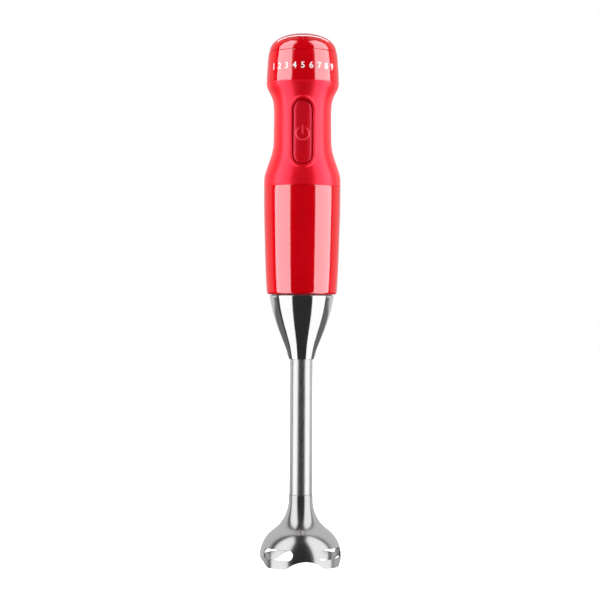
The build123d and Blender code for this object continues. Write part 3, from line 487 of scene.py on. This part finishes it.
# half-width of each outline round the opening, and how far it stands off the grip
bedRings = ((13.0, 0), (11.4, 0), (10.75, 0.05), (10.5, 0.2), (10.25, 0.55), (9.95, 0.72), (9.4, 0.8),
            (8.9, 0.74), (8.5, 0.5), (8.2, 0.05), (8.1, -0.5), (8.1, -2.7), (7.34, -2.8), (7.34, -4.8))
button = {"rings": ((7.2, -4.6), (7.2, -1.7), (7.12, -1.3), (6.9, -1.02), (6.5, -0.88), (5.6, -0.82),
                    (4.4, -0.8), (3.2, -0.8), (2.1, -0.8), (1.0, -0.8), (0, -0.8)),
          "arcSteps": 64, "sideCuts": 20}
symbol = {"radius": 4.9, "line": 1.05, "raise": 0.35, "root": 0.4, "edge": 0.16, "gap": 30, "steps": 48,
          "height": 330.9, "bar": (1.1, 6.4), "barDrop": 0.2}

gripCurve = curveThrough(grip["stations"], 12)


def gripHalves(z):
    for low, high in zip(gripCurve, gripCurve[1:]):
        if z <= high[0]:
            t = (z - low[0]) / (high[0] - low[0])
            return low[1] + (high[1] - low[1]) * t, low[2] + (high[2] - low[2]) * t
    return gripCurve[-1][1:]


def onGrip(x, z, lift):
    # the point of the grip's front at x and z, stood off by lift
    halfWidth, halfDepth = gripHalves(min(max(z, gripLow), gripHigh))
    return Vector((x, -halfDepth * math.sqrt(1 - (x / halfWidth) ** 2) - lift, z)) * mm


def stadiumPoint(x, z, middle, straight, width, part=1.0):
    # moves a point part of the way to the nearest point of a stadium outline of this half-width
    spine = min(max(z - middle, -straight), straight)
    way = Vector((x, z - middle - spine))
    target = Vector((0, middle + spine)) + way.normalized() * width
    return Vector((x, z)).lerp(target, part)


def bedRing(width, lift, part=1.0):
    def place(co):
        x, z = stadiumPoint(co.x / mm, co.z / mm, buttonBed["height"], buttonBed["straight"], width, part)
        return onGrip(x, z, lift)
    return place


def overOpening(face):
    centre = face.calc_center_median() / mm
    halfWidth, halfDepth = gripHalves(centre.z)
    turn = math.degrees(math.atan2(centre.x / halfWidth, -centre.y / halfDepth))
    return abs(turn) < grip["openTurn"] and abs(centre.z - buttonBed["height"]) < grip["openHeight"]


def makeGrip():
    rows = round((gripHigh - gripLow) / grip["rowStep"])
    bm = bmesh.new()
    bmesh.ops.create_circle(bm, segments=grip["columns"], radius=1)
    loop = list(bm.edges)
    for i in range(rows + 1):
        z = gripLow + (gripHigh - gripLow) * i / rows
        halfWidth, halfDepth = gripHalves(z)
        if i:
            loop = growRing(bm, loop, lambda co: co)
        for vert in {v for e in loop for v in e.verts}:
            flat = Vector((vert.co.x / before[0], vert.co.y / before[1])) if i else vert.co.xy.normalized()
            vert.co = (flat.x * halfWidth * mm, flat.y * halfDepth * mm, z * mm)
        before = (halfWidth * mm, halfDepth * mm)
    bmesh.ops.delete(bm, geom=[f for f in bm.faces if overOpening(f)], context="FACES")
    loop = boundaryLoop(bm, lambda co: abs(co.z / mm - buttonBed["height"]) < grip["nearOpening"])
    for part in (0.3, 0.45, 1.0):
        loop = growRing(bm, loop, bedRing(bedRings[0][0], 0, part))
    for width, lift in bedRings[1:]:
        loop = growRing(bm, loop, bedRing(width, lift))
    bmesh.ops.recalc_face_normals(bm, faces=bm.faces)
    thicken(bm, grip["wall"])
    softenEdges(bm, grip["edge"], sharper=60)
    return finishPiece(bm, "softGrip", "motor_body", finishes["soft_red_grip"], ["grip_sleeve"],
                       crease=50)


def makeButton():
    bm = bmesh.new()
    bmesh.ops.create_circle(bm, segments=button["arcSteps"], radius=button["rings"][0][0] * mm)
    for vert in bm.verts:
        half = math.copysign(buttonBed["straight"] * mm, vert.co.y - 1e-7)
        vert.co = Vector((vert.co.x, 0, vert.co.y + half + buttonBed["height"] * mm))
    sides = [e for e in bm.edges if abs(e.verts[0].co.z - e.verts[1].co.z) > buttonBed["straight"] * mm]
    bmesh.ops.subdivide_edges(bm, edges=sides, cuts=button["sideCuts"])
    for vert in bm.verts:
        vert.co = onGrip(vert.co.x / mm, vert.co.z / mm, button["rings"][0][1])
    loop = list(bm.edges)
    for width, lift in button["rings"][1:]:
        loop = growRing(bm, loop, bedRing(max(width, 0.001), lift))
    bmesh.ops.remove_doubles(bm, verts=bm.verts, dist=0.02 * mm)
    bmesh.ops.contextual_create(bm, geom=[e for e in bm.edges if e.is_boundary])
    bmesh.ops.recalc_face_normals(bm, faces=bm.faces)
    return finishPiece(bm, "powerButton", "power_button", finishes["red_button"], ["power_button"],
                       crease=60)


def makeSymbol():
    # the usual power mark: an open ring and a bar, raised from the button
    mark = bmesh.new()
    half, tall, root = symbol["line"] / 2, symbol["raise"], symbol["root"]
    corners = [mark.verts.new(((symbol["radius"] + side * half) * mm, 0, level * mm))
               for side, level in ((-1, -root), (1, -root), (1, tall), (-1, tall))]
    face = mark.faces.new(corners)
    bmesh.ops.rotate(mark, verts=corners, matrix=Matrix.Rotation(math.radians(90 + symbol["gap"]), 3, "Z"))
    bmesh.ops.spin(mark, geom=[face], cent=(0, 0, 0), axis=(0, 0, 1),
                   angle=math.radians(360 - 2 * symbol["gap"]), steps=symbol["steps"])
    bar = bmesh.new()
    bmesh.ops.create_cube(bar, size=mm)
    width, length = symbol["bar"]
    bmesh.ops.scale(bar, vec=(width, length, tall + root), verts=bar.verts)
    middle = ((length / 2 - symbol["barDrop"]) * mm, (tall - root) / 2 * mm)
    bmesh.ops.translate(bar, vec=(0, *middle), verts=bar.verts)
    mergeInto(mark, bar)
    bmesh.ops.recalc_face_normals(mark, faces=mark.faces)
    softenEdges(mark, symbol["edge"], sharper=60)
    for vert in mark.verts:
        x, up, lift = vert.co / mm
        vert.co = onGrip(x, symbol["height"] + up, button["rings"][-1][1] + lift)
    bmesh.ops.recalc_face_normals(mark, faces=mark.faces)
    # the mark's paler red finish is painted highlight
    return finishPiece(mark, "powerMark", "power_button", paintedHighlightRedMark(), crease=40)


makeGrip()
makeButton()
makeSymbol()
print("grip and button done")


numbers = {"marks": "123456789", "turn": 13.4, "size": 6.7, "height": 380.2, "radius": 27.35, "lift": 0.07,
           "bold": 0.12, "thick": 0.03, "cutStep": 0.5}


def collarRadius(z):
    for (lowRadius, low), (highRadius, high) in zip(collar["line"], collar["line"][1:]):
        if z <= high:
            return lowRadius + (highRadius - lowRadius) * (z - low) / (high - low)
    return highRadius


def makeNumbers():
    ink = bmesh.new()
    for i, mark in enumerate(numbers["marks"]):
        text = bpy.data.curves.new("mark", "FONT")
        text.body = mark
        text.align_x = "CENTER"
        text.size = numbers["size"] * mm
        text.offset = numbers["bold"] * mm
        text.extrude = numbers["thick"] * mm
        text.resolution_u = 6
        writer = bpy.data.objects.new("mark", text)
        mesh = bpy.data.meshes.new_from_object(writer)
        bpy.data.objects.remove(writer)
        turn = math.radians((i - (len(numbers["marks"]) - 1) / 2) * numbers["turn"])
        part = bmesh.new()
        part.from_mesh(mesh)
        bmesh.ops.triangulate(part, faces=part.faces)
        # cuts across each digit let it bend round the collar
        for cut in range(-5, 6):
            bmesh.ops.bisect_plane(part, geom=part.verts[:] + part.edges[:] + part.faces[:],
                                   plane_co=(cut * numbers["cutStep"] * mm, 0, 0), plane_no=(1, 0, 0))
        for vert in part.verts:
            z = numbers["height"] + vert.co.y / mm
            out = collarRadius(z) + numbers["lift"] + vert.co.z / mm
            angle = turn + vert.co.x / mm / numbers["radius"]
            vert.co = Vector((out * math.sin(angle), -out * math.cos(angle), z)) * mm
        bmesh.ops.remove_doubles(part, verts=part.verts, dist=0.002 * mm)
        bmesh.ops.recalc_face_normals(part, faces=part.faces)
        mergeInto(ink, part)
    return finishPiece(ink, "dialNumbers", "motor_body", inkWhite, crease=30)


makeNumbers()
print("numbers done")


cone = {"line": ((10.05, 158.95), (12.1, 166.8), (15.7, 176.0), (19.3, 185.4), (22.4, 195.6), (24.85, 207.4)),
        "wall": 1.2, "lowEdge": 0.45, "topEdge": 0.5, "fit": 0.02, "closedBelow": 4, "steps": 160}
tube = {"radius": 8.9, "wall": 0.9, "high": 170.0, "overlap": 0.2, "edge": 0.12, "steps": 128}


def makeCone():
    side = curveThrough(cone["line"], 8)
    lowEdge, topEdge, bore = cone["lowEdge"], cone["topEdge"], tube["radius"] + cone["fit"]
    low = arc((cone["line"][0][0] - lowEdge, coneLow + lowEdge), lowEdge, -90, 0, 4)
    top = arc((cone["line"][-1][0] - topEdge, coneHigh - topEdge), topEdge, 0, 90, 4)
    # below this station of the side the cone is solid down to the tube
    floorAt = cone["closedBelow"]
    inner = [[r - cone["wall"], z] for r, z in reversed(side[floorAt:])]
    line = [[bore, coneLow]] + low[:-1] + side + top[1:] + inner + [[bore, side[floorAt][1] + 1]]
    bm = lathe(line, cone["steps"], closed=True)
    return finishPiece(bm, "steelCone", "blending_arm", finishes["polished_stainless"], ["arm_cone"])


def makeTube():
    low, high = tubeLow - tube["overlap"], tube["high"]
    outside, inside, edge = tube["radius"], tube["radius"] - tube["wall"], tube["edge"]
    line = roundedLine([[inside, low, 0], [outside, low, edge], [outside, high, edge], [inside, high, 0]], 4)
    bm = lathe(line, tube["steps"], closed=True)
    return finishPiece(bm, "steelTube", "blending_arm", tubeSteel, ["arm_tube"])


makeCone()
makeTube()
print("arm done")


bell = {"rim": 31.5, "neck": 9.4, "shoulderHeight": 7.0, "shoulder": 24.6, "throatHeight": 50.0,
        "throat": 28.3, "bend": 54.4, "rimRows": (0, 0.35, 1.5, 3.0, 5.0), "neckRow": 52.0, "columns": 192,
        "wall": 1.2, "edge": 0.22}
arches = {"turn": -82.5, "circle": 21.2, "middle": -15.0, "fillet": 6.0, "filletAt": 17.29}
slots = {"turn": -37.5, "height": 10.8, "straight": 10.05, "rings": (5.0, 4.3, 3.97, 3.9), "blockTurn": 30,
         "blockHeights": (5, 16.2), "loopHeights": (4.95, 17), "loopReach": 0.857}
quarters = [90 * side for side in range(4)]


def bellRadius(z):
    above = max(z - bell["shoulderHeight"], 0)
    return bell["rim"] - bell["shoulder"] + math.sqrt(bell["shoulder"] ** 2 - above ** 2)


def rimHeight(x):
    # height of the scalloped rim at a distance x across an arch
    x = abs(x)
    if x >= arches["filletAt"]:
        return 0.0
    touch = arches["filletAt"] * arches["circle"] / (arches["circle"] + arches["fillet"])
    if x <= touch:
        return arches["middle"] + math.sqrt(arches["circle"] ** 2 - x * x)
    return arches["fillet"] - math.sqrt(arches["fillet"] ** 2 - (arches["filletAt"] - x) ** 2)


def slotRing(turn, width, part=1.0):
    spin = Matrix.Rotation(math.radians(-90 - turn), 3, "Z")

    def place(co):
        there = spin @ co / mm
        x, z = slotPoint(there.x, there.z, width, part)
        return spin.inverted() @ Vector((x, -math.sqrt(bellRadius(z) ** 2 - x * x), z)) * mm
    return place


def slotPoint(x, z, width, part):
    spine = min(max(x, -slots["straight"]), slots["straight"])
    way = Vector((x - spine, z - slots["height"]))
    target = Vector((spine, slots["height"])) + way.normalized() * width
    return Vector((x, z)).lerp(target, part)


def makeBell():
    shoulderCentre = (bell["rim"] - bell["shoulder"], bell["shoulderHeight"])
    throatCentre = (bell["neck"] + bell["throat"], bell["throatHeight"])
    rows = [[bell["rim"], level] for level in bell["rimRows"]]
    rows += arc(shoulderCentre, bell["shoulder"], 0, 22, 5)
    rows += arc(shoulderCentre, bell["shoulder"], 22, bell["bend"], 14)[1:]
    rows += arc(throatCentre, bell["throat"], 180 + bell["bend"], 180, 26)[1:]
    rows += [[bell["neck"], bell["neckRow"]], [bell["neck"], bellHigh]]
    bm = lathe(rows, bell["columns"])
    low, high = slots["blockHeights"]
    blocks = []
    for face in bm.faces:
        centre = face.calc_center_median()
        around = math.degrees(math.atan2(centre.y, centre.x)) - slots["turn"]
        away = min(abs((around - quarter + 180) % 360 - 180) for quarter in quarters)
        if away < slots["blockTurn"] and low * mm < centre.z < high * mm:
            blocks.append(face)
    bmesh.ops.delete(bm, geom=blocks, context="FACES")
    for vert in bm.verts:
        v = vert.co.z / mm
        if v < bell["shoulderHeight"] - 0.01:
            around = (math.degrees(math.atan2(vert.co.y, vert.co.x)) - arches["turn"] + 45) % 90 - 45
            rim = rimHeight(bell["rim"] * math.sin(math.radians(around)))
            vert.co.z = (rim + v * (bell["shoulderHeight"] - rim) / bell["shoulderHeight"]) * mm
    low, high = slots["loopHeights"]
    for quarter in quarters:
        turn = slots["turn"] + quarter
        heading = Vector((math.cos(math.radians(turn)), math.sin(math.radians(turn))))
        loop = boundaryLoop(bm, lambda co: (co.xy.normalized().dot(heading) > slots["loopReach"]
                                            and low * mm < co.z < high * mm))
        for width in slots["rings"]:
            loop = growRing(bm, loop, slotRing(turn, width))
    bmesh.ops.recalc_face_normals(bm, faces=bm.faces)
    thicken(bm, bell["wall"], level=False)
    softenEdges(bm, bell["edge"], sharper=50)
    return finishPiece(bm, "bellGuard", "bell", bellSteel, ["bell_guard"], crease=40)


makeBell()
print("bell done")


bpy.context.scene.view_settings.view_transform = "Standard"

view = {"distance": 1.28, "height": 0.2043, "side": -0.0013, "lens": 99.3, "sensor": 36, "roll": 0.29}
sweep = {"size": 12, "drop": 0.25}

camera = bpy.data.objects.new("camera", bpy.data.cameras.new("camera"))
bpy.context.scene.collection.objects.link(camera)
camera.data.lens = view["lens"]
camera.data.sensor_width = view["sensor"]
camera.data.clip_start = 0.05
camera.matrix_world = (Matrix.Translation((view["side"], -view["distance"], view["height"]))
                       @ Matrix.Rotation(math.radians(90), 4, "X")
                       @ Matrix.Rotation(math.radians(view["roll"]), 4, "Z"))
bpy.context.scene.camera = camera

bm = bmesh.new()
bmesh.ops.create_grid(bm, x_segments=2, y_segments=2, size=sweep["size"])
mesh = bpy.data.meshes.new("floor")
bm.to_mesh(mesh)
bm.free()
floor = bpy.data.objects.new("floor", mesh)
# below the object, which leaves room for the arm and the bell to be pulled down
floor.location.z = -sweep["drop"]
bpy.context.scene.collection.objects.link(floor)
floorPaint, floorShader = newFinish("whiteSweep", Base_Color=toLinear("#FFFFFF"), Roughness=1.0,
                                    Emission_Color=toLinear("#FFFFFF"), Emission_Strength=1.0)
# seen through from beneath, so the blade side can be looked at
floorSide = addNode(floorPaint, "ShaderNodeNewGeometry")
floorClear = addNode(floorPaint, "ShaderNodeBsdfTransparent")
floorPick = addNode(floorPaint, "ShaderNodeMixShader")
join(floorPaint, floorSide, "Backfacing", floorPick, 0)
join(floorPaint, floorShader, "BSDF", floorPick, 1)
join(floorPaint, floorClear, "BSDF", floorPick, 2)
join(floorPaint, floorPick, "Shader", floorPaint.node_tree.nodes["Material Output"], "Surface")
mesh.materials.append(floorPaint)
floor.visible_glossy = floor.visible_diffuse = floor.visible_shadow = False

# the mirrored surroundings, by azimuth from the camera: dark in front, a softbox each side, grey behind;
# ranges are in degrees, but overheadHalf and boxInner are the sideways part of the direction, and lean
# moves each box's edges with height
studio = {"front": 0.036, "box": 1.5, "back": 0.82, "under": 0.19, "left": (33.8, 90), "right": (38.5, 97),
          "lean": 0.14, "darkBelow": (-12.5, -8), "overhead": (48, 58), "overheadHalf": (0.05, 0.2),
          "behind": (96, 112), "boxHeights": (-62, 88), "boxInner": (0.18, 0.27)}
# lamps for the red mouldings only, with a faint pair for the grip alone: azimuths in degrees, heights and
# distance in metres from the grip's middle, and the crescent's ends as azimuth and elevation
panels = {"left": (-90, -36.5), "right": (40, 98), "gripLeft": (-152, -92), "gripRight": (99, 150),
          "heights": (-5.2, 7.5), "distance": 3.0, "radiance": 8.1, "gripRadiance": 0.4,
          "crescentTop": (180, 52), "crescentEnd": (148, 34), "crescentWidth": 0.3,
          "crescentRadiance": 8.0, "tint": (1.0, 0.97, 1.04)}


def makeStudio():
    world = bpy.data.worlds.new("studio")
    bpy.context.scene.world = world
    world.use_nodes = True
    tree = world.node_tree
    tree.nodes.clear()

    def maths(operation, *values):
        node = tree.nodes.new("ShaderNodeMath")
        node.operation = operation
        for socket, value in zip(node.inputs, values):
            if isinstance(value, (int, float)):
                socket.default_value = value
            else:
                tree.links.new(value, socket)
        return node.outputs[0]

    def rise(value, low, high):
        node = tree.nodes.new("ShaderNodeMapRange")
        node.interpolation_type = "SMOOTHSTEP"
        tree.links.new(value, node.inputs["Value"])
        node.inputs["From Min"].default_value, node.inputs["From Max"].default_value = low, high
        return node.outputs[0]

    def window(value, low, high, soft):
        return maths("MULTIPLY", rise(value, low - soft, low + soft), rise(value, high + soft, high - soft))

    place = tree.nodes.new("ShaderNodeTexCoord")
    split = tree.nodes.new("ShaderNodeSeparateXYZ")
    tree.links.new(place.outputs["Generated"], split.inputs[0])
    x, y, z = split.outputs
    azimuth = maths("MULTIPLY", maths("ARCTAN2", x, maths("MULTIPLY", y, -1.0)), 180 / math.pi)
    height = maths("MULTIPLY", maths("ARCSINE", z), 180 / math.pi)
    around, aside = maths("ABSOLUTE", azimuth), maths("ABSOLUTE", x)
    # the grey behind is darker below and straight over
    grey = maths("MULTIPLY_ADD", rise(height, *studio["darkBelow"]), studio["back"] - studio["under"],
                 studio["under"])
    overhead = maths("MULTIPLY", rise(height, *studio["overhead"]),
                     maths("SUBTRACT", 1.0, rise(aside, *studio["overheadHalf"])))
    behind = maths("MULTIPLY", rise(around, *studio["behind"]), maths("SUBTRACT", 1.0, overhead))
    value = maths("MULTIPLY_ADD", behind, maths("SUBTRACT", grey, studio["front"]), studio["front"])
    # a softbox each side, cut off near straight up
    reach = maths("MULTIPLY", window(height, *studio["boxHeights"], 5), rise(aside, *studio["boxInner"]))
    for side, (low, high) in ((1, studio["right"]), (-1, studio["left"])):
        turned = maths("MULTIPLY_ADD", azimuth, side, maths("MULTIPLY", height, studio["lean"]))
        box = maths("MULTIPLY", window(turned, low, high, 1.5), reach)
        value = maths("MULTIPLY_ADD", box, maths("SUBTRACT", studio["box"], value), value)
    light = tree.nodes.new("ShaderNodeBackground")
    tree.links.new(value, light.inputs["Strength"])
    plain = tree.nodes.new("ShaderNodeBackground")
    plain.inputs["Color"].default_value = (1, 1, 1, 1)
    pick = tree.nodes.new("ShaderNodeMixShader")
    tree.links.new(tree.nodes.new("ShaderNodeLightPath").outputs["Is Camera Ray"], pick.inputs[0])
    tree.links.new(light.outputs[0], pick.inputs[1])
    tree.links.new(plain.outputs[0], pick.inputs[2])
    out = tree.nodes.new("ShaderNodeOutputWorld")
    tree.links.new(pick.outputs[0], out.inputs["Surface"])
    world.cycles_visibility.diffuse = False


def directionOf(azimuth, elevation):
    # a unit vector; azimuth 0 points to the camera
    turn, lift = math.radians(azimuth), math.radians(elevation)
    return Vector((math.sin(turn) * math.cos(lift), -math.cos(turn) * math.cos(lift), math.sin(lift)))


def addPanel(name, middle, across, up, radiance, seenBy):
    # a flat lamp; across and up are its half sides as vectors, and its face is turned to the handle
    lamp = bpy.data.lights.new(name, "AREA")
    lamp.shape = "RECTANGLE"
    lamp.size, lamp.size_y = 2 * across.length, 2 * up.length
    lamp.color = panels["tint"]
    lamp.energy = radiance * math.pi * lamp.size * lamp.size_y
    panel = bpy.data.objects.new(name, lamp)
    bpy.context.scene.collection.objects.link(panel)
    facing = across.cross(up).normalized()
    if facing.dot(middle) < 0:
        across, facing = -across, -facing
    panel.matrix_world = Matrix.Translation(middle) @ Matrix(
        (across.normalized(), up.normalized(), facing)).transposed().to_4x4()
    panel.visible_camera = panel.visible_diffuse = False
    panel.light_linking.receiver_collection = seenBy


def makePanels():
    reds = bpy.data.collections.new("redMouldings")
    softs = bpy.data.collections.new("softMouldings")
    for name in ("dialCap", "collarBand", "motorCasing", "softGrip", "powerButton", "powerMark"):
        reds.objects.link(bpy.data.objects[name])
    softs.objects.link(bpy.data.objects["softGrip"])
    centre = Vector((0, 0, (gripLow + gripHigh) / 2 * mm))
    low, high = panels["heights"]
    for name, radiance, seenBy in (("left", "radiance", reds), ("right", "radiance", reds),
                                   ("gripLeft", "gripRadiance", softs), ("gripRight", "gripRadiance", softs)):
        start, end = (math.radians(turn) for turn in panels[name])
        turn, half = (start + end) / 2, (end - start) / 2
        out = Vector((math.sin(turn), -math.cos(turn), 0))
        across = Vector((out.y, -out.x, 0)) * panels["distance"] * math.tan(half)
        addPanel(name + "Panel", centre + out * panels["distance"] + Vector((0, 0, (low + high) / 2)), across,
                 Vector((0, 0, (high - low) / 2)), panels[radiance], seenBy)
    # two legs of a thin strip behind and above draw the fine crescent on the dome
    dome = Vector((0, 0, dialHigh * mm))
    for side in (-1, 1):
        ends = []
        for azimuth, elevation in (panels["crescentTop"], panels["crescentEnd"]):
            ends.append(dome + panels["distance"] * directionOf(azimuth * side, elevation))
        middle, across = (ends[0] + ends[1]) / 2, (ends[1] - ends[0]) / 2
        up = across.cross(middle - dome).normalized() * panels["crescentWidth"] / 2
        addPanel("crescent" + ("Left" if side < 0 else "Right"), middle, across, up,
                 panels["crescentRadiance"], reds)


makeStudio()
makePanels()

# soft suns for the body colour: name, azimuth from the camera, elevation, strength, softness
suns = (("sideLeft", -82, 8, 4.7, 40), ("sideRight", 82, 8, 4.7, 40), ("front", 0, 10, 0.95, 30),
        ("top", 0, 88, 0.8, 60), ("under", 0, -60, 0.35, 60), ("rear", 180, 10, 1.25, 30))
for name, azimuth, elevation, strength, softness in suns:
    lamp = bpy.data.lights.new(name, "SUN")
    lamp.energy = strength
    lamp.angle = math.radians(softness)
    sun = bpy.data.objects.new(name, lamp)
    bpy.context.scene.collection.objects.link(sun)
    sun.rotation_mode = "QUATERNION"
    sun.rotation_quaternion = directionOf(azimuth, elevation).to_track_quat("Z", "Y")
    sun.visible_glossy = False
print("studio done")
